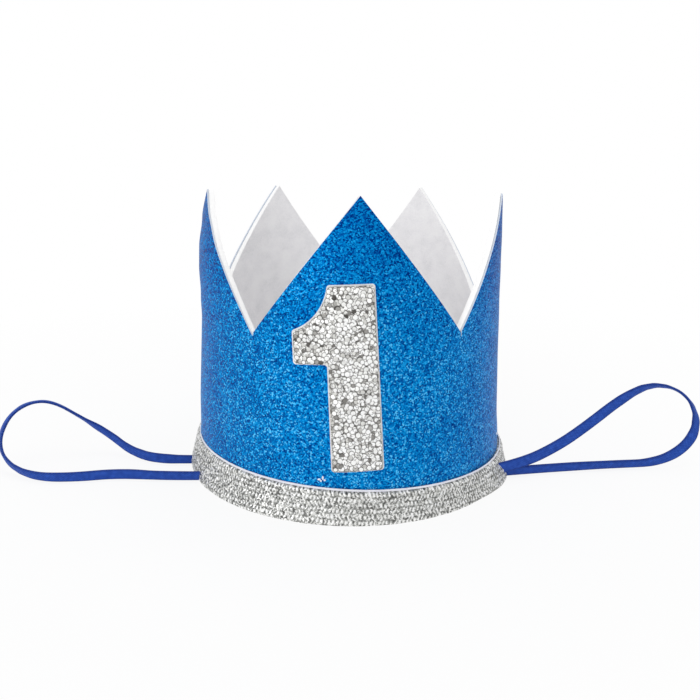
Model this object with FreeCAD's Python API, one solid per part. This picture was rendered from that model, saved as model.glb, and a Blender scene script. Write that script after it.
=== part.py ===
"""First-birthday party crown: a rolled band of white felt faced with blue glitter sheet,
cut into points, with a silver ribbon round its hem, a glued-on numeral and an elastic loop
at each side.

Units are millimetres. +Z is up, the front of the crown faces -Y, and the origin is the
centre of the hem on the surface that the crown stands on. Azimuths are in degrees, counted
from the front (-Y) towards +X.
"""
import FreeCAD, Part
import math
import os

Vector = FreeCAD.Vector

# Band: one strip, rolled up with a slight lean inwards towards the tips
tip_height = 90.25
valley_height = 52.0
hem_radius = 50.2
tip_inset = 2.2
cover_thickness = 0.5
felt_thickness = 1.8
glue_film = 0.1
cover_hem_gap = 0.4

# Points: the front one is a little wider than the others
point_count = 5
front_tip_azimuth = 2.2
front_point_span = 74.5
seam_gap = 0.3

# Ribbon round the hem, glued on slightly askew, so its upper edge runs up to the left
trim_height = 8.9
trim_tilt = 1.7
trim_foot_stand = 2.65
trim_toe_tuck = 1.0
trim_waist_sag = 0.35
trim_shoulder_stand = 1.2
trim_shoulder_drop = 1.2
trim_shoulder_sag = 0.15
edging_stand = 0.5
edging_height = 0.5
edging_bevel = 0.15

# Numeral: a cut-out of coarse glitter sheet on a white backing
numeral_height = 51.9
numeral_gap = 5.2
numeral_base_offset = 2.4
numeral_lean = 3.05
numeral_top_width = 13.1
numeral_foot_width = 14.6
flag_reach = 9.4
flag_height = 9.4
flag_foot_height = 30.1
flag_sag = 2.35
numeral_corner_radius = 0.9
backing_thickness = 0.5
flake_thickness = 0.5
backing_rim = 0.35

# Elastic: a narrow flat band, given here as a plain tube as wide as the band
elastic_width = 3.2

# Routes of the two loops, chosen by hand: out of the ribbon, round the end and back in
left_loop_route = [
    (-45.2, -25.2, 1.7),
    (-56.7, -25.9, 1.7),
    (-71.8, -24.4, 1.7),
    (-85.3, -28.0, 1.7),
    (-96.4, -28.0, 1.7),
    (-105.9, -22.6, 2.2),
    (-111.1, -19.0, 5.7),
    (-112.8, -15.3, 10.5),
    (-111.1, -11.7, 15.6),
    (-106.5, -8.4, 18.7),
    (-99.6, -6.0, 18.6),
    (-90.0, -4.2, 12.0),
    (-81.3, -2.9, 5.9),
    (-73.2, -7.0, 1.9),
    (-61.7, -13.5, 1.7),
    (-49.7, -12.4, 1.7),
]
right_loop_route = [
    (46.1, -19.2, 1.7),
    (58.3, -16.5, 1.7),
    (72.3, -13.7, 1.7),
    (87.2, -11.7, 1.9),
    (100.3, -10.3, 2.0),
    (109.0, -8.7, 4.7),
    (114.6, -7.7, 10.0),
    (116.2, -6.3, 16.2),
    (114.0, -4.7, 22.2),
    (108.8, -3.4, 25.9),
    (100.6, -2.9, 26.4),
    (90.9, -4.9, 21.9),
    (78.4, -8.6, 13.5),
    (68.4, -12.7, 8.4),
    (55.2, -19.2, 4.8),
    (42.7, -24.4, 4.2),
]

# Margin by which a cutting tool runs past what it cuts
overrun = 5.0

lean_per_mm = tip_inset / tip_height
cover_depth = cover_thickness + glue_film
wall_thickness = cover_depth + felt_thickness
ribbon_back_radius = hem_radius - wall_thickness / 2
edging_top = trim_height + edging_height
numeral_base_height = edging_top + numeral_gap
backing_stand = glue_film + backing_thickness
flake_foot_stand = backing_stand + glue_film


def radial(azimuth, radius, height):
    """Point at an azimuth, a distance from the axis and a height."""
    angle = math.radians(azimuth)
    return Vector(radius * math.sin(angle), -radius * math.cos(angle), height)


def face_radius(height, depth):
    """Radius of the leaning wall at a height, a depth inwards from its outer face."""
    return hem_radius - lean_per_mm * height - depth


def leaning_solid(depth, bottom, top):
    """Solid cone frustum whose side lies a depth inwards from the outer face of the wall."""
    base = Vector(0, 0, bottom)
    return Part.makeCone(face_radius(bottom, depth), face_radius(top, depth), top - bottom, base)


def leaning_ring(outer_depth, inner_depth, bottom, top):
    """Ring of the wall between two depths and two heights."""
    return leaning_solid(outer_depth, bottom, top).cut(leaning_solid(inner_depth, bottom, top))


def point_edges():
    """Each straight edge of the points, as (valley azimuth, tip azimuth)."""
    other_span = (360.0 - front_point_span) / (point_count - 1)
    valley = front_tip_azimuth + front_point_span / 2
    edges = [(valley, front_tip_azimuth)]
    for _ in range(point_count - 1):
        tip = valley + other_span / 2
        edges.append((valley, tip))
        valley = valley + other_span
        edges.append((valley, tip))
    edges.append((valley - 360.0, front_tip_azimuth))
    return edges


def edge_face(valley, tip):
    """Radial face through one edge of a point, which is straight in the flat strip.

    It runs on past the tip, so that neighbouring faces cross above it.
    """
    reach = 1 + overrun / (tip_height - valley_height)
    sides = []
    for radius in (hem_radius - wall_thickness - overrun, hem_radius + overrun):
        stations = []
        for step in range(9):
            share = reach * step / 8
            azimuth = valley + (tip - valley) * share
            height = valley_height + (tip_height - valley_height) * share
            stations.append(radial(azimuth, radius, height))
        curve = Part.BSplineCurve()
        curve.interpolate(stations)
        sides.append(curve.toShape())
    return Part.makeRuledSurface(sides[0], sides[1])


def seam_azimuth():
    """Azimuth of the valley at the back, where the ends of the strip meet."""
    valleys = [valley for valley, _ in point_edges()]
    return min(valleys, key=lambda valley: abs(abs(valley) - 180.0))


def seam_cutter(azimuth):
    """Thin upright slab from the axis outwards, where the two ends of a strip meet."""
    reach = hem_radius + trim_foot_stand + overrun
    low = -overrun
    slab = Part.makeBox(seam_gap, reach, tip_height + 2 * overrun, Vector(-seam_gap / 2, -reach, low))
    slab.rotate(Vector(0, 0, 0), Vector(0, 0, 1), azimuth)
    return slab


def pointed_layer(outer_depth, inner_depth, bottom):
    """One layer of the band, from its hem to the tips, cut into points and left open at the seam."""
    ring = leaning_ring(outer_depth, inner_depth, bottom, tip_height + overrun / 2)
    faces = [edge_face(valley, tip) for valley, tip in point_edges()]
    pieces, _ = ring.generalFuse(faces)
    body = min(pieces.Solids, key=lambda solid: solid.CenterOfMass.z)
    return body.cut(seam_cutter(seam_azimuth())).Solids[0]


def revolved(profile):
    """Closed profile in the XZ plane, turned about the axis."""
    return Part.Face(profile).revolve(Vector(0, 0, 0), Vector(0, 0, 1), 360)


def askew(solid):
    """The solid tilted with the ribbon, cut level at the hem and glued to the wall."""
    tilted = solid.copy()
    tilted.rotate(Vector(0, 0, 0), Vector(0, 1, 0), trim_tilt)
    size = 2 * (hem_radius + trim_foot_stand + overrun)
    below = Part.makeBox(size, size, size, Vector(-size / 2, -size / 2, -size))
    wall = leaning_solid(-glue_film, -overrun, trim_height + 2 * overrun)
    return tilted.cut(below).cut(wall)


def profile_point(radius, height):
    """Point of a profile in the XZ plane."""
    return Vector(radius, 0, height)


def bulged_arc(first, last, sag):
    """Arc between two points of the XZ plane, bulging to the right of its heading by a sag."""
    heading = (last - first).normalize()
    side = Vector(heading.z, 0, -heading.x)
    middle = (first + last) / 2 + side * sag
    return Part.Arc(first, middle, last).toShape()


def outline_wire(corners, arcs):
    """Closed wire of straight lines through the corners and of further arcs."""
    lines = [Part.makeLine(a, b) for a, b in zip(corners, corners[1:])]
    return Part.Wire(Part.__sortEdges__(lines + arcs))


def base_trim():
    """Padded ribbon: it lies against the wall at its upper edge and flares at the foot."""
    foot_radius = hem_radius + trim_foot_stand
    crest = profile_point(hem_radius + edging_stand, trim_height)
    shoulder = profile_point(hem_radius + trim_shoulder_stand, trim_height - trim_shoulder_drop)
    foot = profile_point(foot_radius, 0)
    toe = profile_point(foot_radius - trim_toe_tuck, -overrun)
    back_low = profile_point(ribbon_back_radius, -overrun)
    back_top = profile_point(ribbon_back_radius, trim_height)
    arcs = [
        bulged_arc(foot, shoulder, -trim_waist_sag),
        bulged_arc(shoulder, crest, trim_shoulder_sag),
    ]
    ribbon = revolved(outline_wire([crest, back_top, back_low, toe, foot], arcs))
    return askew(ribbon).cut(seam_cutter(seam_azimuth())).Solids[0]


def trim_edging():
    """White upper edge of the ribbon, a narrow strip standing on its crest."""
    crest_radius = hem_radius + edging_stand
    corners = [
        profile_point(ribbon_back_radius, trim_height),
        profile_point(crest_radius, trim_height),
        profile_point(crest_radius - edging_bevel, edging_top),
        profile_point(ribbon_back_radius, edging_top),
        profile_point(ribbon_back_radius, trim_height),
    ]
    strip = revolved(Part.makePolygon(corners))
    return askew(strip).cut(seam_cutter(seam_azimuth())).Solids[0]


def numeral_point(across, up):
    """Point of the upright numeral, leaned and placed on the front, in the XZ plane."""
    lean = math.radians(numeral_lean)
    x = numeral_base_offset + across * math.cos(lean) - up * math.sin(lean)
    z = numeral_base_height + across * math.sin(lean) + up * math.cos(lean)
    return Vector(x, 0, z)


def numeral_outline():
    """Outline of the figure one, with a flag whose upper side is a hollow curve."""
    half_top = numeral_top_width / 2
    half_foot = numeral_foot_width / 2
    flag_tip = -half_foot - flag_reach
    flag_top = flag_foot_height + flag_height
    flag_shoulder = numeral_point(flag_tip, flag_top)
    head = numeral_point(-half_top, numeral_height)
    hollow = bulged_arc(flag_shoulder, head, flag_sag)
    corners = [
        head,
        numeral_point(half_top, numeral_height),
        numeral_point(half_foot, 0),
        numeral_point(-half_foot, 0),
        numeral_point(-half_foot, flag_foot_height),
        numeral_point(flag_tip, flag_foot_height),
        flag_shoulder,
    ]
    return outline_wire(corners, [hollow])


def numeral_layer(outline, bottom_stand, top_stand):
    """The outline's shape in a layer that wraps round the front of the wall."""
    prism = Part.Face(outline).extrude(Vector(0, -2 * hem_radius, 0))
    corners = [edge for edge in prism.Edges if edge.BoundBox.YLength > hem_radius]
    rounded = prism.makeFillet(numeral_corner_radius, corners)
    layer = leaning_ring(-top_stand, -bottom_stand, 0, tip_height)
    return rounded.common(layer).Solids[0]


def numeral_backing():
    """White sheet that carries the flakes, showing as a thin rim all round."""
    return numeral_layer(numeral_outline(), glue_film, backing_stand)


def numeral_one():
    """Coarse silver flakes on the backing, set in from its edge."""
    face = numeral_outline().makeOffset2D(-backing_rim)
    return numeral_layer(face, flake_foot_stand, flake_foot_stand + flake_thickness)


def cord_path(route, name):
    """Straight runs joined by tangent arcs, each as large as its two runs allow."""
    points = [Vector(*point) for point in route]
    edges = []
    radii = []
    start = points[0]
    for before, corner, after in zip(points, points[1:], points[2:]):
        back = (before - corner).normalize()
        on = (after - corner).normalize()
        half_turn = (math.pi - back.getAngle(on)) / 2
        setback = 0.45 * min((before - corner).Length, (after - corner).Length)
        radius = setback / math.tan(half_turn)
        bisector = (back + on).normalize()
        middle = corner + bisector * (radius / math.cos(half_turn) - radius)
        arc_start = corner + back * setback
        arc_end = corner + on * setback
        edges.append(Part.LineSegment(start, arc_start).toShape())
        edges.append(Part.Arc(arc_start, middle, arc_end).toShape())
        radii.append(round(radius, 1))
        start = arc_end
    edges.append(Part.LineSegment(start, points[-1]).toShape())
    print(name, "bend radii", radii)
    return Part.Wire(edges)


def elastic_loop(route, name, trim):
    """Plain tube along a route, cut off where it goes into the ribbon."""
    path = cord_path(route, name)
    start = Vector(*route[0])
    heading = Vector(*route[1]) - start
    section = Part.Wire(Part.makeCircle(elastic_width / 2, start, heading))
    tube = path.makePipeShell([section], True, False)
    expected = math.pi * (elastic_width / 2) ** 2 * path.Length
    print(name, "length", round(path.Length, 1), "volume", round(tube.Volume, 1), "of", round(expected, 1))
    covered = trim.fuse(leaning_solid(-glue_film, 0, trim_height))
    return max(tube.cut(covered).Solids, key=lambda solid: solid.Volume)


def build():
    """Make each sub-part under its node's name."""
    trim = base_trim()
    return {
        "felt_lining": pointed_layer(cover_depth, wall_thickness, 0),
        "glitter_cover": pointed_layer(0, cover_thickness, cover_hem_gap),
        "base_trim": trim,
        "trim_edging": trim_edging(),
        "numeral_backing": numeral_backing(),
        "numeral_one": numeral_one(),
        "elastic_loop_left": elastic_loop(left_loop_route, "left loop", trim),
        "elastic_loop_right": elastic_loop(right_loop_route, "right loop", trim),
    }


os.makedirs("parts", exist_ok=True)
for node, shape in build().items():
    box = shape.optimalBoundingBox(False)
    print(node, "solids", len(shape.Solids), "valid", shape.isValid(), "volume", round(shape.Volume, 1))
    print("   from", round(box.XMin, 2), round(box.YMin, 2), round(box.ZMin, 2), "to",
          round(box.XMax, 2), round(box.YMax, 2), round(box.ZMax, 2))
    shape.exportStep("parts/" + node + ".step")
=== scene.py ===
"""Looks of a first-birthday party crown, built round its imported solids.

Every length is in metres, in the frame of the solids: +Z is up, the front of the crown faces
-Y, and the origin is the centre of the hem on the surface that the crown stands on. Azimuths
are in degrees, counted from the front (-Y) towards +X.
"""
import logging
import math
import random
from dataclasses import dataclass, field
from enum import Enum
from functools import cached_property
from typing import Callable, Iterator, Union

import bmesh
import bpy
from mathutils import Matrix, Vector, noise


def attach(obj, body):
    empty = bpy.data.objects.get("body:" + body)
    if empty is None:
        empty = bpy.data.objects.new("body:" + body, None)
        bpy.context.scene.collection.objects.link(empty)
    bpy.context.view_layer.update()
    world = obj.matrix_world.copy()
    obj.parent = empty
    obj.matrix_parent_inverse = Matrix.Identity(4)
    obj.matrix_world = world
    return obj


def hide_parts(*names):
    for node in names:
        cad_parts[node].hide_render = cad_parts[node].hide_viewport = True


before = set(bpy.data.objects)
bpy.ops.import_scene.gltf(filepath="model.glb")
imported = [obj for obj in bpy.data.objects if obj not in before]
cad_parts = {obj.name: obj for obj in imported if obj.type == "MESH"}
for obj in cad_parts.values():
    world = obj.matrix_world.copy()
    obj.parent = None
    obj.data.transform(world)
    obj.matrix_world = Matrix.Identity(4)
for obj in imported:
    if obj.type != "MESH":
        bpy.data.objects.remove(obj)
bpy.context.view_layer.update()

MM = 0.001
HAIR = 0.01 * MM
FLOAT, VECTOR = "NodeSocketFloat", "NodeSocketVector"
MIDDLE = (0.5, 0.5, 0.5)
WHITE = (255, 255, 255)
LOG = logging.getLogger("party_crown")
Colour = tuple[float, float, float, float]
Stops = tuple[tuple[float, tuple[int, int, int]], ...]
Table = tuple[tuple[float, float], ...]
Tree = bpy.types.NodeTree
Socket = bpy.types.NodeSocket
Outputs = bpy.types.NodeOutputs
Feed = Union[Socket, float, tuple]
Shape = bmesh.types.BMesh
Pieces = list[bpy.types.Object]


class Slot(Enum):
    """Material slots of the part's record."""

    FELT = "white_felt"
    GLITTER = "blue_glitter"
    RIBBON = "silver_ribbon"
    EDGING = "white_edging"
    BACKING = "white_backing"
    FLAKES = "silver_flakes"
    ELASTIC = "blue_elastic"


def srgb(*channels: float) -> Colour:
    """Linear colour of a display colour.

    Args:
        channels: red, green and blue, from 0 to 255.

    Returns:
        The linear colour with full opacity.
    """
    shares = [channel / 255 for channel in channels]
    linear = [s / 12.92 if s <= 0.04045 else ((s + 0.055) / 1.055) ** 2.4 for s in shares]
    return (*linear, 1.0)


def smooth_step(low: float, high: float, value: float) -> float:
    """Smooth rise from 0 at low to 1 at high.

    Args:
        low: where the rise starts.
        high: where the rise ends.
        value: where it is read.

    Returns:
        The share of the rise, from 0 to 1.
    """
    share = min(1.0, max(0.0, (value - low) / (high - low)))
    return share * share * (3 - 2 * share)


def hump(distance: float, reach: float) -> float:
    """Smooth hump: 1 at its centre, 0 from its reach on."""
    return math.cos(min(1.0, abs(distance) / reach) * math.pi / 2) ** 2


def stations(table: Table, place: float) -> float:
    """Value between the stations of a table, with smooth changes from one to the next.

    Args:
        table: pairs of place and value, in order of place.
        place: where the value is read.

    Returns:
        The value there.
    """
    for (low, first), (high, second) in zip(table, table[1:]):
        if place <= high:
            return first + (second - first) * smooth_step(low, high, place)
    return table[-1][1]


def wrapped(azimuth: float) -> float:
    """The same azimuth, from -180 to 180 degrees."""
    return (azimuth + 180.0) % 360.0 - 180.0


def polar(azimuth: float, radius: float, height: float) -> Vector:
    """Point at an azimuth, a distance from the axis and a height."""
    angle = math.radians(azimuth)
    return Vector((radius * math.sin(angle), -radius * math.cos(angle), height))


def outward(point: Vector) -> Vector:
    """Level direction from the axis to a point."""
    return Vector((point.x, point.y, 0)).normalized()


# Node wiring


@dataclass
class Graph:
    """A shader node tree that is being wired."""

    tree: Tree

    def feed(self, node: bpy.types.Node, inputs: dict[str | int, Feed]) -> None:
        """Set or link a node's inputs.

        Args:
            node: the node.
            inputs: value or output socket for each input, by its name or number.
        """
        for name, value in inputs.items():
            if isinstance(value, Socket):
                self.tree.links.new(value, node.inputs[name])
            else:
                node.inputs[name].default_value = value

    def add(self, kind: str, inputs: dict | None = None, **settings: object) -> bpy.types.Node:
        """Add a node.

        Args:
            kind: the node's type name.
            inputs: what its inputs are fed with.
            settings: the node's own settings.

        Returns:
            The new node.
        """
        node = self.tree.nodes.new(kind)
        for name, value in settings.items():
            setattr(node, name, value)
        self.feed(node, inputs or {})
        return node

    def math(self, operation: str, *values: Feed) -> Socket:
        """Output of a Math node with these inputs."""
        inputs = dict(enumerate(values))
        return self.add("ShaderNodeMath", inputs, operation=operation).outputs[0]

    def vector(self, operation: str, *values: Feed) -> Socket:
        """Output of a Vector Math node with these inputs."""
        inputs = dict(enumerate(values))
        return self.add("ShaderNodeVectorMath", inputs, operation=operation).outputs[0]

    def place(self) -> Socket:
        """Place in the object's own coordinates."""
        return self.add("ShaderNodeTexCoord").outputs["Object"]

    def cloth(self) -> Socket:
        """Place on the flat cloth, from the piece's cloth map."""
        return self.add("ShaderNodeUVMap", uv_map="cloth").outputs[0]

    def mark(self, name: str) -> Socket:
        """Value of one of the mesh's own attributes."""
        return self.add("ShaderNodeAttribute", attribute_name=name).outputs["Fac"]

    def noise(self, place: Feed, scale: Feed, **inputs: float) -> Outputs:
        """Outputs of a noise texture."""
        return self.add("ShaderNodeTexNoise", {"Vector": place, "Scale": scale, **inputs}).outputs

    def levels(self, value: Feed, *limits: float) -> Socket:
        """Value mapped from the first two limits to the last two, and kept within these."""
        return self.add("ShaderNodeMapRange", dict(enumerate((value, *limits)))).outputs[0]

    def effect(self, group: Tree, place: Feed, **inputs: float) -> Outputs:
        """Outputs of a shared effect."""
        return self.add("ShaderNodeGroup", {"Vector": place, **inputs}, node_tree=group).outputs

    def bump(self, height: Feed, strength: float, distance: float) -> Socket:
        """Normal turned by a height."""
        inputs = {"Height": height, "Strength": strength, "Distance": distance}
        return self.add("ShaderNodeBump", inputs).outputs[0]

    def ramp(self, factor: Feed, stops: Stops) -> Socket:
        """Colour ramp.

        Args:
            factor: what the ramp reads.
            stops: pairs of position and display colour.

        Returns:
            The ramp's colour.
        """
        node = self.add("ShaderNodeValToRGB", {0: factor})
        elements = node.color_ramp.elements
        while len(elements) < len(stops):
            elements.new(0.5)
        for element, (position, colour) in zip(elements, stops):
            element.position = position
            element.color = srgb(*colour)
        return node.outputs[0]

    def mix(self, factor: Feed, first: Feed, second: Feed, blend: str = "MIX") -> Socket:
        """Colour mix.

        Args:
            factor: share of the second colour.
            first: first colour.
            second: second colour.
            blend: the way of mixing.

        Returns:
            The mixed colour.
        """
        inputs = {0: factor, 6: first, 7: second}
        return self.add("ShaderNodeMix", inputs, data_type="RGBA", blend_type=blend).outputs[2]


def new_group(
    name: str, inputs: dict[str, float], outputs: dict[str, str],
) -> tuple[Graph, Outputs, bpy.types.Node]:
    """Empty shader node group, which is given a place and some numbers.

    Args:
        name: the group's name.
        inputs: default value of each number.
        outputs: socket type of each output.

    Returns:
        The graph, what the group is given, and its Group Output node.
    """
    tree = bpy.data.node_groups.new(name, "ShaderNodeTree")
    tree.interface.new_socket("Vector", in_out="INPUT", socket_type=VECTOR)
    for label, value in inputs.items():
        socket = tree.interface.new_socket(label, in_out="INPUT", socket_type=FLOAT)
        socket.default_value = value
    for label, kind in outputs.items():
        tree.interface.new_socket(label, in_out="OUTPUT", socket_type=kind)
    graph = Graph(tree)
    return graph, graph.add("NodeGroupInput").outputs, graph.add("NodeGroupOutput")


class Effects:
    """Shared shader effects, each built once."""

    def __init__(self) -> None:
        """Build the node groups."""
        self.grain = self._grain()
        self.fibres = self._fibres()
        self.weave = self._weave()

    @staticmethod
    def _grain() -> Tree:
        """Loose grains, each with its own tone and its own way of facing.

        Returns:
            The node group.
        """
        outputs = {"Tone": FLOAT, "Gap": FLOAT, "Normal": VECTOR}
        graph, given, end = new_group("loose_grain", {"Scale": 2400.0, "Tilt": 0.5}, outputs)
        spot = {"Vector": given["Vector"], "Scale": given["Scale"]}
        cells = graph.add("ShaderNodeTexVoronoi", spot).outputs["Color"]
        rims = graph.add("ShaderNodeTexVoronoi", spot, feature="DISTANCE_TO_EDGE")
        lean = {0: graph.vector("SUBTRACT", cells, MIDDLE), "Scale": given["Tilt"]}
        lean = graph.add("ShaderNodeVectorMath", lean, operation="SCALE").outputs[0]
        facing = graph.add("ShaderNodeNewGeometry").outputs["Normal"]
        graph.feed(end, {
            "Tone": graph.add("ShaderNodeSeparateColor", {0: cells}).outputs[0],
            "Gap": rims.outputs["Distance"],
            "Normal": graph.vector("NORMALIZE", graph.vector("ADD", facing, lean)),
        })
        return graph.tree

    @staticmethod
    def _fibres() -> Tree:
        """Matted fibres: streaks in all directions over soft clumps.

        Returns:
            The node group.
        """
        outputs = {"Tone": FLOAT, "Height": FLOAT}
        graph, given, end = new_group("matted_fibres", {"Scale": 900.0}, outputs)
        place, scale = given["Vector"], given["Scale"]
        streaks = graph.noise(place, scale, Detail=4.0, Roughness=0.65, Distortion=1.6)[0]
        clumps = graph.noise(place, graph.math("MULTIPLY", scale, 0.16), Detail=3.0)[0]
        for label, share in (("Tone", 0.45), ("Height", 0.4)):
            fine = graph.math("MULTIPLY", streaks, share)
            coarse = graph.math("MULTIPLY", clumps, 1 - share)
            graph.feed(end, {label: graph.math("ADD", fine, coarse)})
        return graph.tree

    @staticmethod
    def _weave() -> Tree:
        """Threads that cross: ribs along the cloth's length and picks across it.

        Returns:
            The node group.
        """
        outputs = {"Height": FLOAT, "Tone": FLOAT}
        inputs = {"Picks": 1800.0, "Ribs": 1600.0}
        graph, given, end = new_group("crossed_threads", inputs, outputs)
        place = graph.add("ShaderNodeSeparateXYZ", {0: given["Vector"]}).outputs
        waves = []
        for number, label in enumerate(("Picks", "Ribs")):
            count = graph.math("MULTIPLY", place[number], given[label])
            waves.append(graph.math("SINE", graph.math("MULTIPLY", count, math.tau)))
        height = graph.math("MULTIPLY_ADD", graph.math("MULTIPLY", *waves), 0.5, 0.5)
        fray = graph.noise(given["Vector"], graph.math("MULTIPLY", given["Picks"], 0.6))[0]
        tone = graph.math("MULTIPLY_ADD", fray, 0.6, graph.math("MULTIPLY", height, 0.4))
        graph.feed(end, {"Height": height, "Tone": tone})
        return graph.tree


def blank_material(name: str) -> tuple[bpy.types.Material, Graph, bpy.types.Node]:
    """New material with an empty Principled BSDF.

    Args:
        name: the material's name.

    Returns:
        The material, its graph and the BSDF.
    """
    material = bpy.data.materials.new(name)
    material.use_nodes = True
    tree = material.node_tree
    return material, Graph(tree), tree.nodes["Principled BSDF"]


# Finishes


@dataclass(frozen=True)
class Finish:
    """A finish, whose kinds each wire their own surface."""

    name: str

    def surface(self, graph: Graph, effects: Effects) -> dict[str, Feed]:
        """Wire the surface.

        Args:
            graph: the material's graph.
            effects: the shared effects.

        Returns:
            What each input of the Principled BSDF is fed with.
        """
        raise NotImplementedError

    def build(self, effects: Effects) -> bpy.types.Material:
        """Make the material.

        Args:
            effects: the shared effects.

        Returns:
            The new material.
        """
        material, graph, bsdf = blank_material(self.name)
        graph.feed(bsdf, self.surface(graph, effects))
        return material


@dataclass(frozen=True)
class GlitterSheet(Finish):
    """Fine coloured glitter bonded to a cloth sheet, with painted shade that makes it a little
    darker towards the tips.
    """

    name: str = Slot.GLITTER.value
    grain_size: float = 0.38 * MM
    tilt: float = 0.4
    tones: Stops = (
        (0.0, (0, 44, 118)), (0.25, (0, 84, 160)), (0.5, (0, 115, 191)),
        (0.75, (3, 140, 214)), (0.9, (30, 166, 234)), (1.0, (92, 198, 250)),
    )
    glint: Colour = srgb(0, 120, 210)
    backing: Colour = srgb(206, 214, 226)
    drift_scale: float = 60.0
    drift: float = 0.3
    # Painted shade by height: the tone is raised by the third number below the first height and
    # lowered to the fourth above the second, towards the tips.
    rise: tuple[float, ...] = (45 * MM, 85 * MM, 0.04, -0.16)
    metallic: float = 0.45

    def surface(self, graph: Graph, effects: Effects) -> dict[str, Feed]:
        """Wire it, as every finish does."""
        place = graph.place()
        grain = graph.effect(effects.grain, place, Scale=1 / self.grain_size, Tilt=self.tilt)
        cloud = graph.math("SUBTRACT", graph.noise(place, self.drift_scale, Detail=3.0)[0], 0.5)
        tone = graph.math("ADD", grain["Tone"], graph.math("MULTIPLY", cloud, self.drift))
        height = graph.add("ShaderNodeSeparateXYZ", {0: place}).outputs[2]
        # Painted shade: the tone darkens with height towards the tips.
        tone = graph.math("ADD", tone, graph.levels(height, *self.rise))
        cut = graph.mark("cut")
        return {
            "Base Color": graph.mix(cut, graph.ramp(tone, self.tones), self.backing),
            "Normal": grain["Normal"],
            "Metallic": graph.math("MULTIPLY_ADD", cut, -self.metallic, self.metallic),
            "Roughness": 0.5,
            "Specular IOR Level": 0.08,
            "Specular Tint": self.glint,
            "Sheen Weight": 0.16,
            "Sheen Roughness": 0.35,
        }


@dataclass(frozen=True)
class MetalRibbon(Finish):
    """Knitted ribbon of silver thread, with a painted highlight on each stitch and painted shade
    between the stitches.
    """

    name: str = Slot.RIBBON.value
    tones: Stops = (
        (0.0, (54, 54, 52)), (0.25, (108, 109, 106)), (0.5, (174, 175, 172)),
        (0.68, (232, 232, 229)), (0.9, WHITE),
    )
    warp_scale: float = 500.0
    warp: float = 0.9 * MM
    grain_size: float = 0.42 * MM
    tilt: float = 0.6
    grain_share: float = 0.66
    stitch_shading_share: float = 0.5

    def surface(self, graph: Graph, effects: Effects) -> dict[str, Feed]:
        """Wire it, as every finish does."""
        cloth = graph.cloth()
        bent = graph.noise(cloth, self.warp_scale, Detail=1.0)["Color"]
        bent = graph.vector("SUBTRACT", bent, MIDDLE)
        bent = graph.vector("ADD", cloth, graph.vector("MULTIPLY", bent, (self.warp, self.warp, 0)))
        grain = graph.effect(effects.grain, bent, Scale=1 / self.grain_size, Tilt=self.tilt)
        # Painted highlight and shade: the stitch height lightens the ridges and leaves the grooves
        # darker.
        stitch = graph.math("MULTIPLY", graph.mark("stitch"), self.stitch_shading_share)
        tone = graph.math("ADD", graph.math("MULTIPLY", grain["Tone"], self.grain_share), stitch)
        return {
            "Base Color": graph.ramp(tone, self.tones),
            "Normal": grain["Normal"],
            "Metallic": 0.4,
            "Roughness": 0.35,
        }


@dataclass(frozen=True)
class SatinCloth(Finish):
    """Smooth white woven cloth."""

    tones: Stops
    cut_highlight_tones: Stops = ()
    fibre_scale: float = 2500.0
    bump: float = 0.4
    bump_depth: float = 0.1 * MM
    roughness: float = 0.6
    specular: float = 0.5
    sheen: float = 0.0

    def surface(self, graph: Graph, effects: Effects) -> dict[str, Feed]:
        """Wire it, as every finish does."""
        fibres = graph.effect(effects.fibres, graph.place(), Scale=self.fibre_scale)
        colour = graph.ramp(fibres["Tone"], self.tones)
        # Painted highlight: where cut tones are given, the cut faces take these brighter tones.
        if self.cut_highlight_tones:
            edges = graph.ramp(fibres["Tone"], self.cut_highlight_tones)
            colour = graph.mix(graph.mark("cut"), colour, edges)
        return {
            "Base Color": colour,
            "Normal": graph.bump(fibres["Height"], self.bump, self.bump_depth),
            "Roughness": self.roughness,
            "Specular IOR Level": self.specular,
            "Sheen Weight": self.sheen,
        }


@dataclass(frozen=True)
class CraftFelt(SatinCloth):
    """Pressed white craft felt, with a painted highlight that makes its cut faces brighter."""

    name: str = Slot.FELT.value
    tones: Stops = ((0.3, (233, 233, 235)), (0.5, (246, 245, 247)), (0.7, (253, 253, 253)))
    # Painted highlight on the cut faces.
    cut_highlight_tones: Stops = ((0.3, (250, 250, 250)), (0.6, WHITE))
    fibre_scale: float = 1100.0
    bump: float = 0.5
    bump_depth: float = 0.3 * MM
    roughness: float = 0.95
    specular: float = 0.2
    sheen: float = 0.25


@dataclass(frozen=True)
class FlakeBed(Finish):
    """Bed of coarse silver flakes, under the loose ones, with painted shade in the gaps between
    flakes.
    """

    name: str = "flake_bed"
    tones: Stops = (
        (0.0, (120, 118, 114)), (0.25, (176, 174, 170)), (0.6, (216, 215, 211)),
        (1.0, (250, 250, 248)),
    )
    gap_shade_tones: Stops = ((0.02, (120, 118, 115)), (0.09, WHITE))
    grain_size: float = 0.9 * MM
    tilt: float = 0.4

    def surface(self, graph: Graph, effects: Effects) -> dict[str, Feed]:
        """Wire it, as every finish does."""
        scale = 1 / self.grain_size
        grain = graph.effect(effects.grain, graph.place(), Scale=scale, Tilt=self.tilt)
        tone = graph.ramp(grain["Tone"], self.tones)
        # Painted shade: darker near each grain's edge, where the gaps between flakes fall in shade.
        rim = graph.ramp(grain["Gap"], self.gap_shade_tones)
        return {
            "Base Color": graph.mix(1.0, tone, rim, "MULTIPLY"),
            "Normal": grain["Normal"],
            "Metallic": 0.3,
            "Roughness": 0.35,
        }


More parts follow.
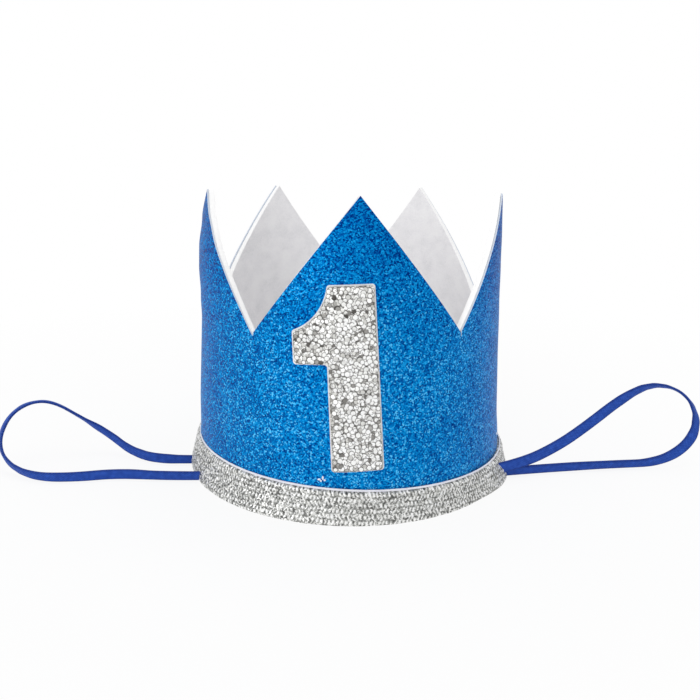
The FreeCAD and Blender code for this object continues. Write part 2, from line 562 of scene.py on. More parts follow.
@dataclass(frozen=True)
class LooseFlake(Finish):
    """Metallised flake, each with its own tone."""

    name: str = Slot.FLAKES.value
    # The darkest stops also colour the painted shade on the flakes' rims.
    tones: Stops = (
        (0.0, (44, 40, 36)), (0.01, (84, 81, 77)), (0.03, (132, 130, 126)),
        (0.09, (206, 205, 201)), (0.3, (248, 248, 246)), (1.0, WHITE),
    )
    dull_tones: Stops = ((0.3, (232, 232, 232)), (0.5, WHITE))
    fibre_scale: float = 2000.0

    def surface(self, graph: Graph, effects: Effects) -> dict[str, Feed]:
        """Wire it, as every finish does."""
        fibres = graph.effect(effects.fibres, graph.place(), Scale=self.fibre_scale)
        tone = graph.ramp(graph.mark("tone"), self.tones)
        dull = graph.ramp(fibres["Tone"], self.dull_tones)
        return {
            "Base Color": graph.mix(1.0, tone, dull, "MULTIPLY"),
            "Metallic": 0.3,
            "Roughness": 0.3,
        }


@dataclass(frozen=True)
class WovenElastic(Finish):
    """Flat woven elastic, darker towards its two long edges."""

    name: str = Slot.ELASTIC.value
    tones: Stops = ((0.2, (18, 54, 138)), (0.5, (31, 73, 164)), (0.8, (54, 98, 198)))
    darker_edge_tones: Stops = ((0.62, WHITE), (0.95, (190, 196, 208)))
    half_width: float = 1.65 * MM
    picks: float = 1100.0
    ribs: float = 1500.0
    bump_depth: float = 0.1 * MM

    def surface(self, graph: Graph, effects: Effects) -> dict[str, Feed]:
        """Wire it, as every finish does."""
        cloth = graph.cloth()
        weave = graph.effect(effects.weave, cloth, Picks=self.picks, Ribs=self.ribs)
        across = graph.add("ShaderNodeSeparateXYZ", {0: cloth}).outputs[1]
        share = graph.math("DIVIDE", graph.math("ABSOLUTE", across), self.half_width)
        # Darker towards the two long edges.
        darker_edges = graph.ramp(share, self.darker_edge_tones)
        threads = graph.ramp(weave["Tone"], self.tones)
        return {
            "Base Color": graph.mix(1.0, threads, darker_edges, "MULTIPLY"),
            "Normal": graph.bump(weave["Height"], 0.35, self.bump_depth),
            "Roughness": 0.6,
            "Specular IOR Level": 0.2,
        }


@dataclass
class Wardrobe:
    """All the finishes, made once."""

    effects: Effects = field(default_factory=Effects)
    edging_tones: Stops = ((0.3, (226, 226, 238)), (0.7, (250, 250, 255)))
    backing_tones: Stops = ((0.3, (228, 228, 230)), (0.7, (252, 252, 252)))

    def __post_init__(self) -> None:
        """Make each material."""
        self.glitter = GlitterSheet().build(self.effects)
        self.felt = CraftFelt().build(self.effects)
        self.ribbon = MetalRibbon().build(self.effects)
        self.edging = SatinCloth(Slot.EDGING.value, self.edging_tones).build(self.effects)
        self.backing = SatinCloth(Slot.BACKING.value, self.backing_tones).build(self.effects)
        self.bed = FlakeBed().build(self.effects)
        self.flake = LooseFlake().build(self.effects)
        self.elastic = WovenElastic().build(self.effects)


# Mesh helpers


def new_object(name: str, data: bpy.types.ID | None) -> bpy.types.Object:
    """New object in the scene, at the origin."""
    made = bpy.data.objects.new(name, data)
    bpy.context.scene.collection.objects.link(made)
    return made


def finish_piece(
    name: str, shape: Shape, material: bpy.types.Material, slot: Slot,
    replaced: tuple[str, ...] = (), sharp: float = 40.0, turn: bool = True,
) -> bpy.types.Object:
    """Make a shown piece of a finished shape and let it ride with the crown.

    Args:
        name: the piece's name.
        shape: its mesh, in place. It is freed.
        material: its material.
        slot: the record's slot for its finish. It is not used.
        replaced: the solids that it stands for.
        sharp: angle in degrees above which an edge is shaded sharp.
        turn: whether its normals are recalculated.

    Returns:
        The new object.
    """
    if turn:
        bmesh.ops.recalc_face_normals(shape, faces=shape.faces)
    mesh = bpy.data.meshes.new(name)
    shape.to_mesh(mesh)
    shape.free()
    mesh.materials.append(material)
    mesh.shade_smooth()
    mesh.set_sharp_from_angle(angle=math.radians(sharp))
    piece = new_object(name, mesh)
    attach(piece, "root")
    if replaced:
        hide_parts(*replaced)
    LOG.info("%s: %d faces", name, len(mesh.polygons))
    return piece


def dress_node(node: str, material: bpy.types.Material) -> None:
    """Give a solid that stays in sight its material.

    Args:
        node: the solid's name.
        material: its new material.
    """
    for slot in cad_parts[node].material_slots:
        slot.material = material
    LOG.info("%s keeps its solid", node)


def cloth_grid(length: float, width: float, step: float, across: int) -> Shape:
    """Flat rectangle of cloth in the XY plane, with its corner at the origin, and its cloth map.

    Args:
        length: size along X.
        width: size along Y.
        step: size of a face along X.
        across: faces across the width.

    Returns:
        The grid.
    """
    shape = bmesh.new()
    shape.loops.layers.uv.new("cloth")
    bmesh.ops.create_grid(shape, x_segments=round(length / step), y_segments=across, size=0.5)
    bmesh.ops.translate(shape, vec=(0.5, 0.5, 0), verts=shape.verts)
    bmesh.ops.scale(shape, vec=(length, width, 1), verts=shape.verts)
    layer = shape.loops.layers.uv["cloth"]
    for face in shape.faces:
        for loop in face.loops:
            loop[layer].uv = loop.vert.co.xy
    return shape


def place_verts(shape: Shape, place: Callable[[Vector], Vector]) -> None:
    """Move every vertex of a shape to where a rule puts it."""
    for vert in shape.verts:
        vert.co = place(vert.co)


def everything(shape: Shape) -> list:
    """All the vertices, edges and faces of a shape."""
    return shape.verts[:] + shape.edges[:] + shape.faces[:]


def new_verts(made: dict) -> list[bmesh.types.BMVert]:
    """The vertices that an extrusion has made."""
    return [item for item in made["geom"] if isinstance(item, bmesh.types.BMVert)]


# Crown


@dataclass
class Wall:
    """The leaning wall of the band, which the other pieces sit on."""

    hem_radius: float = 50.2 * MM
    tip_inset: float = 2.2 * MM
    tip_height: float = 90.25 * MM
    valley_height: float = 52.0 * MM
    cover_thickness: float = 0.5 * MM
    felt_thickness: float = 1.8 * MM
    glue_film: float = 0.1 * MM
    cover_hem_gap: float = 0.4 * MM
    point_count: int = 5
    front_tip: float = 2.2
    front_span: float = 74.5
    seam_gap: float = 0.3 * MM
    valley_turns: tuple[float, ...] = (0.5, 0.0, 0.0, 0.0, -0.2)
    valley_drops: tuple[float, ...] = (0.8, 0.0, 0.0, 0.0, 1.8)
    bend_centre: float = 82.0
    bend_reach: float = 46.0
    left_bend: Table = (
        (0, 0), (12, 0.1), (25, 0.45), (48, 0.45), (56, 0.95), (66, 1.7), (72, 1.75), (81, 0.9),
        (91, 0.05),
    )
    right_bend: Table = (
        (0, 0), (11, -0.05), (20, -0.4), (35, -0.33), (55, 0.0), (67, 0.33), (78, 0.6),
        (91, 0.65),
    )

    def bend(self, azimuth: float, height: float) -> float:
        """How far the points at the two sides are bent outwards at a place."""
        turn = wrapped(azimuth)
        most = stations(self.left_bend if turn < 0 else self.right_bend, height / MM)
        return hump(abs(turn) - self.bend_centre, self.bend_reach) * most * MM

    def radius(self, height: float, depth: float = 0.0) -> float:
        """Distance from the axis at a height, a depth inwards from the outer face."""
        return self.hem_radius - self.tip_inset * height / self.tip_height - depth

    def point(self, azimuth: float, height: float, depth: float = 0.0) -> Vector:
        """Point at an azimuth, a height and a depth inwards from the outer face."""
        return polar(azimuth, self.radius(height, depth), height)

    def point_edges(self) -> list[tuple[float, float, float]]:
        """Straight edges of the points.

        Returns:
            Azimuth and height of the valley, and azimuth of the tip, of each edge.
        """
        span = (360.0 - self.front_span) / (self.point_count - 1)
        first = self.front_tip + self.front_span / 2
        edges = []
        for number in range(self.point_count):
            valley = first + number * span
            low = self.valley_height - self.valley_drops[number] * MM
            before = valley - (self.front_span if number == 0 else span) / 2
            after = valley + (self.front_span if number == self.point_count - 1 else span) / 2
            turned = valley + self.valley_turns[number]
            edges += [(turned, low, before), (turned, low, after)]
        return edges

    @cached_property
    def seam(self) -> float:
        """Azimuth of the seam, in the valley at the back."""
        valleys = [valley for valley, _, _ in self.point_edges()]
        return min(valleys, key=lambda azimuth: abs(abs(azimuth) - 180.0))

    def around(self, share: float) -> float:
        """Azimuth at a share of the way round a strip that starts and ends at the seam."""
        gap = math.degrees(self.seam_gap / self.hem_radius)
        return self.seam + gap / 2 + share * (360.0 - gap)


@dataclass
class Band:
    """Felt lining and glitter cover, each one strip cut into points and rolled up."""

    wall: Wall
    step: float = 1.15 * MM
    rows: int = 76
    wave: float = 0.16 * MM
    felt_slip: float = -0.35
    felt_rounding: float = 0.3 * MM
    cover_rounding: float = 0.08 * MM
    rim_angle: float = 60.0

    def strip(self, bottom: float) -> Shape:
        """Flat pointed strip: X is the azimuth in degrees less the seam's, Y the height.

        Args:
            bottom: height of its lower edge.

        Returns:
            The strip as a sheet of faces.
        """
        wall = self.wall
        steps = round(2 * math.pi * wall.hem_radius / self.step)
        shape = cloth_grid(360.0, wall.tip_height - bottom, 360.0 / steps, self.rows)
        bmesh.ops.translate(shape, vec=(0, bottom, 0), verts=shape.verts)
        edges = []
        for valley, low_end, tip in wall.point_edges():
            shift = 360.0 * math.floor((wall.seam - (valley + tip) / 2) / 360.0 + 1) - wall.seam
            edges.append((valley + shift, low_end, tip + shift))
        for azimuth in {round(place, 6) for edge in edges for place in (edge[0], edge[2])}:
            bmesh.ops.bisect_plane(
                shape, geom=everything(shape), plane_co=(azimuth, 0, 0), plane_no=(1, 0, 0))
        for valley, low_end, tip in edges:
            low, high = sorted((valley, tip))
            column = [face for face in shape.faces if low < face.calc_center_median().x < high]
            parts = set(column)
            for face in column:
                parts.update(face.verts)
                parts.update(face.edges)
            run = Vector((tip - valley, wall.tip_height - low_end, 0))
            up = Vector((-run.y, run.x, 0)) * (1 if run.x > 0 else -1)
            bmesh.ops.bisect_plane(
                shape, geom=list(parts), plane_co=(valley, low_end, 0), plane_no=up,
                clear_outer=True)
        return shape

    def layer(
        self, outer: float, inner: float, bottom: float, round_off: float, slip: float, back: float,
    ) -> Shape:
        """Thick rolled strip between two depths.

        Args:
            outer: depth of its outer face.
            inner: depth of its inner face.
            bottom: height of its hem.
            round_off: how far its cut edges are rounded.
            slip: how far round it is glued out of line, in degrees.
            back: mark of its inner face, 1 where that looks like the cut faces.

        Returns:
            The rolled strip, in place, whose cut faces are marked.
        """
        wall = self.wall
        shape = self.strip(bottom)
        raised = bmesh.ops.extrude_face_region(shape, geom=shape.faces[:])
        bmesh.ops.translate(shape, vec=(0, 0, inner - outer), verts=new_verts(raised))
        marks = shape.faces.layers.float.new("cut")
        for face in shape.faces:
            face.normal_update()
            inside = back if face.calc_center_median().z > (inner - outer) / 2 else 0.0
            face[marks] = 1.0 if abs(face.normal.z) < 0.5 else inside

        def rolled(spot: Vector) -> Vector:
            """Place on the wall of a place on the flat strip, with the felt's slight waves."""
            azimuth = wall.around(spot.x / 360.0) + slip
            point = wall.point(azimuth, spot.y, outer + spot.z - wall.bend(azimuth, spot.y))
            lift = smooth_step(wall.valley_height * 0.2, wall.tip_height, spot.y)
            ripple = noise.noise(Vector((point.x * 38, point.y * 38, spot.y * 22)))
            return point + outward(point) * (self.wave * (0.4 + lift) * ripple)

        place_verts(shape, rolled)
        bmesh.ops.remove_doubles(shape, verts=shape.verts, dist=HAIR)
        sharp = math.radians(self.rim_angle)
        rims = [edge for edge in shape.edges
                if edge.is_manifold and edge.calc_face_angle(0) > sharp]
        bmesh.ops.bevel(
            shape, geom=rims, offset=round_off, segments=2, profile=0.5, affect="EDGES",
            material=-1, clamp_overlap=True)
        return shape

    def build(self, finishes: Wardrobe) -> Pieces:
        """Make both layers and dress them.

        Args:
            finishes: all the finishes.

        Returns:
            The pieces.
        """
        wall = self.wall
        glued = wall.cover_thickness + wall.glue_film
        felt = self.layer(
            glued, glued + wall.felt_thickness, 0.0, self.felt_rounding, self.felt_slip, 0.0)
        cover = self.layer(
            0.0, wall.cover_thickness, wall.cover_hem_gap, self.cover_rounding, 0.0, 1.0)
        return [
            finish_piece("felt_band", felt, finishes.felt, Slot.FELT, ("felt_lining",)),
            finish_piece("glitter_band", cover, finishes.glitter, Slot.GLITTER, ("glitter_cover",)),
        ]


@dataclass
class Ribbon:
    """Padded silver ribbon round the hem, with its white upper edge."""

    wall: Wall
    height: float = 8.9 * MM
    below: float = 2.0 * MM
    tilt: float = 1.7
    foot_stand: float = 2.65 * MM
    shoulder_stand: float = 1.2 * MM
    shoulder_drop: float = 1.2 * MM
    waist_sag: float = 0.35 * MM
    back_stand: float = 0.02 * MM
    edging_stand: float = 0.5 * MM
    edging_height: float = 0.6 * MM
    step: float = 0.27 * MM
    rows: int = 40
    edging_step: float = 0.6 * MM
    edging_rows: int = 8
    row_pitch: float = 1.5 * MM
    stitch_pitch: float = 1.1 * MM
    stitch_depth: float = 0.16 * MM
    swells: Table = ((-68.0, 1.1 * MM), (66.0, 1.8 * MM))
    swell_reach: float = 20.0

    def swell(self, azimuth: float, height: float) -> float:
        """How far the ribbon bulges over the glued ends of the elastic.

        Args:
            azimuth: azimuth of the place.
            height: its height.

        Returns:
            The bulge there.
        """
        turn = wrapped(azimuth)
        rise = sum(most * hump(turn - centre, self.swell_reach) for centre, most in self.swells)
        foot = smooth_step(-2.0 * MM, 2.5 * MM, height)
        return rise * foot * smooth_step(0, 4.0 * MM, self.height - height)

    def face_stand(self, height: float) -> float:
        """How far the ribbon's face stands off the hem radius, before its tilt.

        Args:
            height: height on the ribbon.

        Returns:
            The distance there.
        """
        low = self.height - self.shoulder_drop
        if height >= low:
            share = (height - low) / self.shoulder_drop
            round_over = math.sqrt(max(0.0, 1 - share * share))
            return self.edging_stand + (self.shoulder_stand - self.edging_stand) * round_over
        share = height / low
        straight = self.foot_stand + (self.shoulder_stand - self.foot_stand) * share
        return straight - 4 * self.waist_sag * share * (1 - share)

    def tilted(self, azimuth: float, stand: float, height: float) -> Vector:
        """Point that stands off the hem radius, tilted with the ribbon."""
        point = polar(azimuth, self.wall.hem_radius + stand, height)
        return Matrix.Rotation(math.radians(self.tilt), 3, "Y") @ point

    def stitch(self, along: float, up: float) -> float:
        """Height of the knitted stitches at a place on the ribbon.

        Args:
            along: distance along the ribbon.
            up: height on it.

        Returns:
            The height of the stitches, from 0 to 1.
        """
        along += 0.3 * MM * noise.noise(Vector((along * 420, up * 420, 3.0)))
        up += 0.15 * MM * noise.noise(Vector((along * 260, up * 260, 8.0)))
        row = math.floor(up / self.row_pitch)
        share = up / self.row_pitch - row
        slant = 0.45 * (share - 0.5) * (1 if row % 2 else -1)
        turn = along / self.stitch_pitch + 0.5 * (row % 2) + slant
        return (0.5 + 0.5 * math.cos(2 * math.pi * turn)) * math.sin(math.pi * share) ** 0.6

    def close_behind(self, shape: Shape, edges: list[bmesh.types.BMEdge]) -> None:
        """Close the ribbon from an open edge to the wall behind it."""
        for vert in new_verts(bmesh.ops.extrude_edge_only(shape, edges=edges)):
            flat = outward(vert.co) * (self.wall.radius(vert.co.z) + self.back_stand)
            vert.co = Vector((flat.x, flat.y, vert.co.z))

    def knitted(self) -> Shape:
        """The ribbon's padded body, seen from outside and closed behind.

        Returns:
            The body, in place, whose stitch heights are marked; the ribbon's finish paints
            highlight and shade from them.
        """
        length = 2 * math.pi * self.wall.hem_radius
        width = self.height + self.below
        shape = cloth_grid(length, width, self.step, self.rows)
        top = [edge for edge in shape.edges
               if edge.is_boundary and all(vert.co.y > width - HAIR for vert in edge.verts)]
        marks = shape.verts.layers.float.new("stitch")
        for vert in shape.verts:
            vert[marks] = self.stitch(vert.co.x, vert.co.y - self.below)

        def worn(spot: Vector) -> Vector:
            """Place on the crown of a place on the flat ribbon."""
            azimuth = self.wall.around(spot.x / length)
            height = spot.y - self.below
            stand = self.face_stand(max(height, 0.0)) + self.swell(azimuth, height)
            edge = smooth_step(0, 1.0 * MM, self.height - height)
            stand += self.stitch_depth * edge * self.stitch(spot.x, height)
            stand += 0.12 * MM * noise.noise(Vector((spot.x * 300, height * 300, 0)))
            return self.tilted(azimuth, stand, height)

        place_verts(shape, worn)
        self.close_behind(shape, top)
        bmesh.ops.bisect_plane(
            shape, geom=everything(shape), plane_co=(0, 0, 0), plane_no=(0, 0, -1),
            clear_outer=True)
        foot = [edge for edge in shape.edges
                if edge.is_boundary and all(abs(vert.co.z) < HAIR for vert in edge.verts)]
        self.close_behind(shape, foot)
        return shape

    def edging(self) -> Shape:
        """Narrow white strip on the ribbon's crest.

        Returns:
            The strip, in place.
        """
        length = 2 * math.pi * self.wall.hem_radius
        shape = cloth_grid(length, 1.0, self.edging_step, self.edging_rows)

        def worn(spot: Vector) -> Vector:
            """Place on the crown of a place on the flat strip."""
            turn = math.radians(200.0 * spot.y - 100.0)
            ripple = 0.06 * MM * noise.noise(Vector((spot.x * 400, 0.5, 0)))
            stand = self.edging_stand * (0.35 + 0.65 * max(0.0, math.cos(turn))) + ripple
            height = self.height + self.edging_height * (0.45 + 0.55 * math.sin(turn)) + ripple
            return self.tilted(self.wall.around(spot.x / length), stand, height)

        place_verts(shape, worn)
        return shape

    def build(self, finishes: Wardrobe) -> Pieces:
        """Make the ribbon and its edge and dress them.

        Args:
            finishes: all the finishes.

        Returns:
            The pieces.
        """
        body = ("knitted_ribbon", self.knitted(), finishes.ribbon, Slot.RIBBON, ("base_trim",))
        crest = ("ribbon_edging", self.edging(), finishes.edging, Slot.EDGING, ("trim_edging",))
        return [finish_piece(*piece, sharp=60.0, turn=False) for piece in (body, crest)]


@dataclass
class Numeral:
    """The figure one: a backing, a bed of flakes and loose flakes on top."""

    wall: Wall
    height: float = 51.9 * MM
    base_height: float = 14.6 * MM
    base_offset: float = 2.4 * MM
    lean: float = 3.05
    top_width: float = 13.1 * MM
    foot_width: float = 14.6 * MM
    flag_reach: float = 9.4 * MM
    flag_height: float = 9.4 * MM
    flag_foot: float = 30.1 * MM
    flag_sag: float = 2.35 * MM
    rim: float = 0.35 * MM
    face_stand: float = 1.2 * MM
    flake_radius: float = 0.8 * MM
    flake_sides: int = 7
    flake_shade_rim: float = 0.14 * MM
    spacing: float = 1.22 * MM
    row_share: float = 0.87
    levels: int = 2
    jitter: float = 0.35
    most_tip: float = 9.0
    dull_from: float = 43.0 * MM
    seed: int = 11

    def inside(self, across: float, up: float, margin: float) -> bool:
        """Whether a place lies inside the outline.

        Args:
            across: distance to the right of the foot's middle.
            up: distance above the foot.
            margin: how far inside it has to be.

        Returns:
            True where it does.
        """
        if not margin < up < self.height - margin:
            return False
        half = (self.foot_width + (self.top_width - self.foot_width) * up / self.height) / 2
        if -half + margin < across < half - margin:
            return True
        start = Vector((-self.foot_width / 2 - self.flag_reach, self.flag_foot + self.flag_height))
        end = Vector((-self.top_width / 2, self.height))
        if across < start.x + margin or across > 0 or up < self.flag_foot + margin:
            return False
        run = end - start
        share = (Vector((across, up)) - start).dot(run) / run.length_squared
        side = run.cross(Vector((across, up)) - start) / run.length
        hollow = -4 * self.flag_sag * share * (1 - share)
        return side < hollow - margin

    def scatter(self) -> Iterator[tuple[float, float, float, Matrix, float, float]]:
        """Loose flakes, row by row and level by level.

        Yields:
            Places across and up, size, way of facing, distance from the wall, and tone.
        """
        draw = random.Random(self.seed)
        left = -self.foot_width / 2 - self.flag_reach
        columns = round((self.foot_width / 2 - left) / self.spacing) + 1
        rows = round(self.height / (self.spacing * self.row_share)) + 1
        spots = [(level, row, column) for level in range(self.levels)
                 for row in range(rows) for column in range(columns)]
        for level, row, column in spots:
            shift = 0.5 * (row % 2) + draw.uniform(-self.jitter, self.jitter)
            across = left + (column + shift) * self.spacing
            up = (row * self.row_share + draw.uniform(-self.jitter, self.jitter)) * self.spacing
            size = self.flake_radius * draw.uniform(0.8, 1.12)
            facing = Matrix.Identity(4)
            for axis in "XY":
                tip = math.radians(draw.uniform(-self.most_tip, self.most_tip))
                facing = facing @ Matrix.Rotation(tip, 4, axis)
            facing = facing @ Matrix.Rotation(draw.uniform(0, math.tau), 4, "Z")
            stand = self.face_stand + (0.05 + 0.12 * level + draw.uniform(0, 0.08)) * MM
            tone = draw.random()
            if self.inside(across, up, self.rim + size * 0.7):
                dull = up > self.dull_from or across < -self.foot_width / 2
                yield across, up, size, facing, stand, tone * 0.6 if dull else 0.02 + tone * 0.98

    def flakes(self) -> Shape:
        """Loose flakes laid over the bed, each turned and tipped its own way.

        Returns:
            The flakes, in place, each marked with its tone and its rim with a darker one as painted
            shade.
        """
        shape = bmesh.new()
        tones = []
        lean = math.radians(self.lean)
        for across, up, size, facing, stand, tone in self.scatter():
            x = self.base_offset + across * math.cos(lean) - up * math.sin(lean)
            z = self.base_height + across * math.sin(lean) + up * math.cos(lean)
            azimuth = math.asin(x / (self.wall.radius(z) + stand))
            centre = Matrix.Translation(self.wall.point(math.degrees(azimuth), z, -stand))
            turn = Matrix.Rotation(azimuth, 4, "Z") @ Matrix.Rotation(math.radians(90), 4, "X")
            bmesh.ops.create_circle(
                shape, cap_ends=True, segments=self.flake_sides, radius=size,
                matrix=centre @ turn @ facing)
            tones.append(tone)
        layer = shape.faces.layers.float.new("tone")
        for face, tone in zip(shape.faces, tones):
            face[layer] = tone
        rims = bmesh.ops.inset_individual(
            shape, faces=shape.faces[:], thickness=self.flake_shade_rim, depth=0.03 * MM)
        # Painted shade: each flake's rim gets a much darker tone.
        for face in rims["faces"]:
            face[layer] = 0.007 + face[layer] * 0.013
        return shape

    def build(self, finishes: Wardrobe) -> Pieces:
        """Dress the backing and the bed and make the loose flakes.

        Args:
            finishes: all the finishes.

        Returns:
            The piece.
        """
        dress_node("numeral_backing", finishes.backing)
        dress_node("numeral_one", finishes.bed)
        shape = self.flakes()
        return [finish_piece("numeral_flakes", shape, finishes.flake, Slot.FLAKES, (), 20.0, False)]


@dataclass
class GlueSpecks:
    """Small beads of dried glue above the ribbon's edge: azimuth, height, width and length."""

    wall: Wall
    beads: tuple[tuple[float, float, float, float], ...] = (
        (-9.6, 11.7, 0.5, 0.3), (-8.4, 12.2, 0.3, 0.6), (-7.8, 11.6, 0.36, 0.28),
        (-9.0, 11.3, 0.3, 0.3), (72.5, 12.9, 0.5, 0.5),
    )
    thickness: float = 0.16 * MM

    def build(self, finishes: Wardrobe) -> Pieces:
        """Make the beads, each flattened against the wall, and dress them.

        Args:
            finishes: all the finishes.

        Returns:
            The piece.
        """
        shape = bmesh.new()
        for azimuth, height, wide, tall in self.beads:
            stand = self.wall.bend(azimuth, height * MM)
            place = Matrix.Translation(self.wall.point(azimuth, height * MM, -stand))
            turn = Matrix.Rotation(math.radians(azimuth), 4, "Z")
            size = Matrix.Diagonal((wide * MM, self.thickness, tall * MM, 1.0))
            bmesh.ops.create_icosphere(
                shape, subdivisions=2, radius=1.0, matrix=place @ turn @ size)
        return [finish_piece("glue_specks", shape, finishes.edging, Slot.EDGING, (), 60.0)]


@dataclass
class ElasticLoop:
    """Flat elastic that leaves the ribbon, runs round and goes back in."""

    name: str
    node: str
    route: tuple[tuple[float, float, float], ...]
    twist: Table
    plane: Vector
    length: float
    width: float = 3.2 * MM
    thickness: float = 1.0 * MM
    ribs: int = 6
    groove: float = 0.12
    around: int = 28

    def centreline(self) -> list[Vector]:
        """Smooth curve of the route.

        Returns:
            Points along it.
        """
        curve = bpy.data.curves.new(self.name + "_route", "CURVE")
        curve.dimensions = "3D"
        curve.resolution_u = 14
        spline = curve.splines.new("NURBS")
        spline.points.add(len(self.route) - 1)
        for point, place in zip(spline.points, self.route):
            point.co = (place[0] * MM, place[1] * MM, place[2] * MM, 1.0)
        spline.order_u = 3
        spline.use_endpoint_u = True
        holder = bpy.data.objects.new(self.name + "_route", curve)
        mesh = bpy.data.meshes.new_from_object(holder)
        points = [vert.co.copy() for vert in mesh.vertices]
        bpy.data.objects.remove(holder)
        bpy.data.curves.remove(curve)
        bpy.data.meshes.remove(mesh)
        return points

    def section(self, share: float) -> tuple[float, float]:
        """Outline of the flat ribbed section.

        Args:
            share: share of the way round it.

        Returns:
            The place across it and through it.
        """
        across = math.cos(share * math.tau)
        side = math.sin(share * math.tau)
        flat = math.copysign(abs(side) ** 0.45, side)
        wave = 0.5 + 0.5 * math.cos(across * self.ribs * math.pi)
        groove = self.groove * wave if abs(across) < 0.9 else 0.0
        return across * self.width / 2, flat * self.thickness / 2 * (1 - groove)

    def band(self, line: list[Vector]) -> Shape:
        """Flat band along the centreline, turned as its twist says.

        Args:
            line: the centreline.

        Returns:
            The band, closed at its ends.
        """
        lengths = [0.0]
        for before, after in zip(line, line[1:]):
            lengths.append(lengths[-1] + (after - before).length)
        shape = cloth_grid(float(len(line) - 1), 1.0, 1.0, self.around)
        layer = shape.loops.layers.uv["cloth"]
        for face in shape.faces:
            for loop in face.loops:
                across, _ = self.section(loop.vert.co.y)
                loop[layer].uv = (lengths[round(loop.vert.co.x)], across)

        def swept(spot: Vector) -> Vector:
            """Place in the band of a place on the flat grid."""
            number = round(spot.x)
            ahead = line[min(number + 1, len(line) - 1)] - line[max(number - 1, 0)]
            heading = ahead.normalized()
            out = (self.plane - heading * self.plane.dot(heading)).normalized()
            up = out.cross(heading)
            turn = math.radians(stations(self.twist, lengths[number] / lengths[-1]))
            wide = up * math.cos(turn) + out * math.sin(turn)
            across, through = self.section(spot.y % 1.0)
            return line[number] + wide * across + heading.cross(wide) * through

        place_verts(shape, swept)
        bmesh.ops.remove_doubles(shape, verts=shape.verts, dist=0.002 * MM)
        ends = [edge for edge in shape.edges if edge.is_boundary]
        bmesh.ops.holes_fill(shape, edges=ends, sides=0)
        return shape

    def build(self, finishes: Wardrobe) -> Pieces:
        """Args:
            finishes: all the finishes.

        Returns:
            The piece.
        """
        line = self.centreline()
        shape = self.band(line)
        piece = finish_piece(
            self.name, shape, finishes.elastic, Slot.ELASTIC, (self.node,), 60.0)
        tuple(line[0])
        [tuple(point) for point in line]
        return [piece]


# Control points in millimetres, and the band's turn in degrees by its share of the way round

LEFT_ROUTE = (
    (-45.2, -25.2, 1.7), (-56.7, -25.9, 1.7), (-71.8, -24.4, 1.7), (-85.3, -28.0, 1.7),
    (-96.4, -28.0, 1.7), (-105.9, -22.6, 2.2), (-111.1, -19.0, 5.7), (-112.8, -15.3, 10.5),
    (-111.1, -11.7, 15.6), (-106.5, -8.4, 18.7), (-99.6, -6.0, 18.6), (-90.0, -4.2, 12.0),
    (-81.3, -2.9, 5.9), (-73.2, -7.0, 1.9), (-61.7, -13.5, 1.7), (-49.7, -12.4, 1.7),
)
RIGHT_ROUTE = (
    (46.1, -19.2, 1.7), (58.3, -16.5, 1.7), (72.3, -13.7, 1.7), (87.2, -11.7, 1.9),
    (100.3, -10.3, 2.0), (109.0, -8.7, 4.7), (114.6, -7.7, 10.0), (116.2, -6.3, 16.2),
    (114.0, -4.7, 22.2), (108.8, -3.4, 25.9), (100.6, -2.9, 26.4), (90.9, -4.9, 21.9),
    (78.4, -8.6, 13.5), (68.4, -12.7, 8.4), (55.2, -19.2, 4.8), (42.7, -24.4, 4.2),
)
LEFT_TWIST = (
    (0.0, -18), (0.10, -16), (0.15, -6), (0.22, -8), (0.29, -15), (0.34, -22), (0.385, -30),
    (0.41, -40), (0.45, -58), (0.50, -66), (0.56, -86), (0.60, -102), (0.66, -108),
    (0.70, -118), (0.75, -143), (0.80, -151), (0.84, -164), (0.87, -175), (0.93, -176),
    (0.965, -163), (1.0, -160),
)
RIGHT_TWIST = (
    (0.0, 20), (0.16, 20), (0.24, 25), (0.30, 26), (0.345, 14), (0.39, 0), (0.43, 2),
    (0.46, 30), (0.49, 62), (0.515, 84), (0.54, 98), (0.57, 119), (0.595, 135), (0.62, 151),
    (0.67, 174), (0.72, 180), (1.0, 184),
)


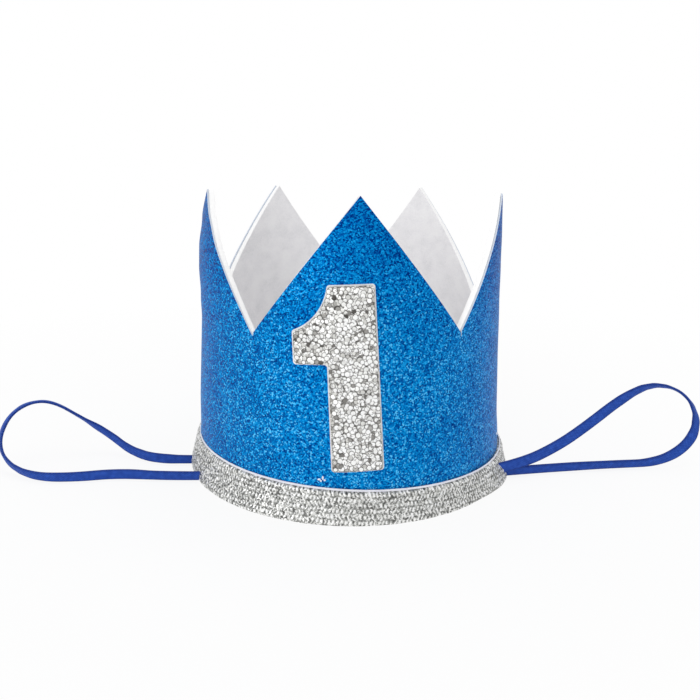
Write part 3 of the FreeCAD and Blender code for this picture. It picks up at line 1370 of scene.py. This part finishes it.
@dataclass
class Studio:
    """Floor, lights and camera."""

    focal_pixels: float = 734.91
    frame_pixels: float = 700.0
    centre_row: float = 254.63
    eye: tuple[float, float, float] = (-0.72 * MM, -243.95 * MM, 98.05 * MM)
    pitch: float = 6.874
    roll: float = 0.897
    sensor: float = 36.0
    aim: tuple[float, float, float] = (0.0, 0.0, 45 * MM)
    plain_light: float = 0.65
    floor_size: float = 20.0
    floor_height: float = -0.05 * MM
    floor_fade: tuple[float, ...] = (0.08, 0.3, 0.88, 1.0)

    def camera(self) -> None:
        """Place the camera."""
        data = bpy.data.cameras.new("camera")
        data.sensor_width = self.sensor
        data.lens = self.focal_pixels / self.frame_pixels * self.sensor
        data.shift_y = (self.centre_row - self.frame_pixels / 2) / self.frame_pixels
        data.clip_start = 0.01
        camera = new_object("camera", data)
        turn = Matrix.Rotation(math.radians(90 - self.pitch), 4, "X")
        turn = turn @ Matrix.Rotation(math.radians(self.roll), 4, "Z")
        camera.matrix_world = Matrix.Translation(self.eye) @ turn
        bpy.context.scene.camera = camera

    def lamp(self, name: str, place: tuple[float, float, float], size: float, power: float) -> None:
        """Square soft lamp that faces the crown.

        Args:
            name: the lamp's name.
            place: where it is.
            size: its side.
            power: its power in watts.
        """
        data = bpy.data.lights.new(name, "AREA")
        data.size = size
        data.energy = power
        turn = (Vector(self.aim) - Vector(place)).to_track_quat("-Z", "Y").to_matrix().to_4x4()
        new_object(name, data).matrix_world = Matrix.Translation(place) @ turn

    @staticmethod
    def seen(graph: Graph) -> Socket:
        """Whether a ray comes from the camera, or shows in metal or glass."""
        path = graph.add("ShaderNodeLightPath").outputs
        direct = graph.math("MAXIMUM", path["Is Camera Ray"], path["Is Glossy Ray"])
        return graph.math("MAXIMUM", direct, path["Is Transmission Ray"])

    def surroundings(self) -> None:
        """White surroundings, seen at full strength and lighting at a plain one."""
        world = bpy.data.worlds.new("studio")
        world.use_nodes = True
        bpy.context.scene.world = world
        graph = Graph(world.node_tree)
        plain = self.plain_light
        strength = graph.math("MULTIPLY_ADD", self.seen(graph), 1 - plain, plain)
        backdrop = graph.tree.nodes["Background"]
        graph.feed(backdrop, {"Strength": strength, "Color": (1, 1, 1, 1)})

    def floor(self) -> None:
        """Pale floor that keeps the crown's shadow and fades to white further off."""
        material, graph, bsdf = blank_material("pale_floor")
        pale = {"Base Color": (0.9, 0.9, 0.9, 1), "Roughness": 0.9, "Specular IOR Level": 0.1}
        graph.feed(bsdf, pale)
        glow = graph.add("ShaderNodeEmission", {"Color": (1, 1, 1, 1), "Strength": 1.0})
        away = graph.add("ShaderNodeVectorMath", {0: graph.place()}, operation="LENGTH")
        fade = graph.levels(away.outputs["Value"], *self.floor_fade)
        share = graph.math("MULTIPLY", fade, self.seen(graph))
        mixed = {0: share, 1: bsdf.outputs[0], 2: glow.outputs[0]}
        surface = graph.add("ShaderNodeMixShader", mixed).outputs[0]
        graph.feed(graph.tree.nodes["Material Output"], {"Surface": surface})
        shape = bmesh.new()
        bmesh.ops.create_grid(shape, x_segments=1, y_segments=1, size=self.floor_size)
        bmesh.ops.translate(shape, vec=(0, 0, self.floor_height), verts=shape.verts)
        mesh = bpy.data.meshes.new("floor")
        shape.to_mesh(mesh)
        shape.free()
        mesh.materials.append(material)
        floor = new_object("floor", mesh)

    def build(self) -> None:
        """Set up the whole studio."""
        bpy.context.scene.view_settings.view_transform = "Standard"
        self.surroundings()
        self.floor()
        self.lamp("front_light", (-0.4, -0.75, 0.32), 0.6, 2.3)
        self.lamp("top_light", (0.1, 0.1, 0.9), 0.7, 2.3)
        self.camera()


def main() -> None:
    """Build the crown and its studio."""
    logging.basicConfig(level=logging.INFO, format="%(name)s %(message)s")
    Studio().build()
    finishes = Wardrobe()
    wall = Wall()
    left_plane, right_plane = Vector((0.2, -1, 0)), Vector((-0.1, -1, 0))
    parts = [
        ElasticLoop("elastic_left", "elastic_loop_left", LEFT_ROUTE, LEFT_TWIST,
                    left_plane, 151.6 * MM),
        ElasticLoop("elastic_right", "elastic_loop_right", RIGHT_ROUTE, RIGHT_TWIST,
                    right_plane, 165.5 * MM, 3.4 * MM),
        Band(wall),
        Ribbon(wall),
        Numeral(wall),
        GlueSpecks(wall),
    ]
    for part in parts:
        pieces = part.build(finishes)
        LOG.info("%s: %s", type(part).__name__, ", ".join(piece.name for piece in pieces))


if __name__ == "__main__":
    main()
